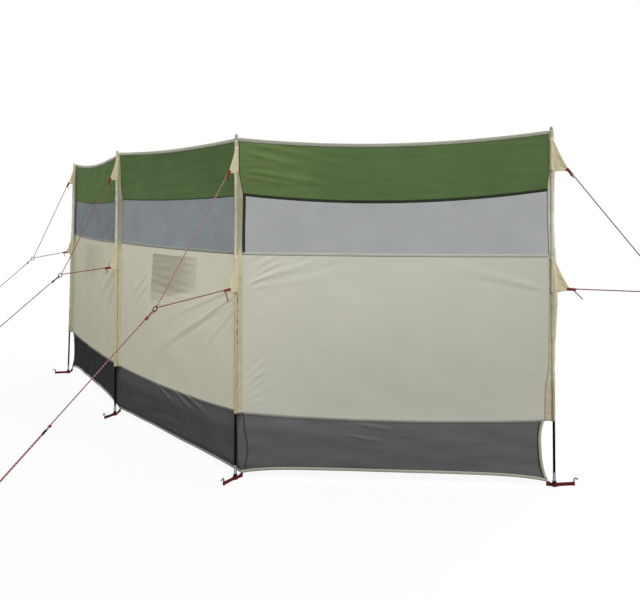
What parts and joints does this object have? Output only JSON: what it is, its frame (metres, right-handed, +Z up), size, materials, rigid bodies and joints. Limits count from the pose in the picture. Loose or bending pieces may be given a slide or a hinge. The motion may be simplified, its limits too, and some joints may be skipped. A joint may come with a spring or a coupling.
{
  "type": "beach windbreak",
  "caption": "Cloth windbreak that runs in bays between thin poles, with a mesh window over a pale wall, a dark ground skirt, guy lines and pegged foot straps.",
  "frame": {"origin": "on the ground under the centre of the corner pole's foot", "axes": "+X along the right bay to the right end pole, +Y to the sheltered side, +Z up"},
  "size_m": [5.5774, 3.5348, 1.5298],
  "materials": {
    "black_rod": "satin black coated steel tube",
    "grey_cap": "grey moulded end cap",
    "bright_steel": "bright zinc plated steel",
    "black_plastic": "black moulded plastic",
    "cream_cloth": "coated polyester cloth, cream",
    "green_cloth": "coated polyester cloth, olive green",
    "grey_mesh": "fine see-through polyester mesh, grey",
    "pale_cloth": "coated polyester cloth, pale stone",
    "dark_cloth": "coated polyester cloth, dark grey",
    "pale_tape": "woven binding tape, pale",
    "red_webbing": "woven webbing, dark red",
    "red_cord": "braided cord, red with pale flecks"
  },
  "bodies": {
    "root": {"pole_left_end": "black_rod", "pole_left_inner": "black_rod", "pole_corner": "black_rod", "pole_right_end": "black_rod", "pole_caps": "grey_cap", "pole_ferrules": "bright_steel", "foot_cups": "black_plastic", "sleeve_left_end": "cream_cloth", "sleeve_left_inner": "cream_cloth", "sleeve_corner": "cream_cloth", "sleeve_right_end": "cream_cloth", "guy_tabs_left_end": "cream_cloth", "guy_tabs_left_inner": "cream_cloth", "guy_tabs_corner": "cream_cloth", "guy_tabs_right_end": "cream_cloth", "guy_line_left_end": "red_cord", "guy_line_left_inner": "red_cord", "guy_line_corner": "red_cord", "guy_line_right_end": "red_cord", "tab_loops": "red_webbing", "guy_rings": "black_plastic", "guy_runners": "black_plastic", "guy_pegs": "bright_steel", "foot_straps": "red_webbing", "foot_pegs": "bright_steel", "top_tape_left": "pale_tape", "top_tape_middle": "pale_tape", "top_tape_right": "pale_tape", "green_band_left": "green_cloth", "green_band_middle": "green_cloth", "green_band_right": "green_cloth", "mesh_window_left": "grey_mesh", "mesh_window_middle": "grey_mesh", "mesh_window_right": "grey_mesh", "wall_left": "pale_cloth", "wall_middle": "pale_cloth", "wall_right": "pale_cloth", "skirt_left": "dark_cloth", "skirt_middle": "dark_cloth", "skirt_right": "dark_cloth", "hem_tape_left": "pale_tape", "hem_tape_middle": "pale_tape", "hem_tape_right": "pale_tape", "skirt_end_tapes": "pale_tape", "inner_pockets": "pale_cloth"}
  },
  "joints": []
}
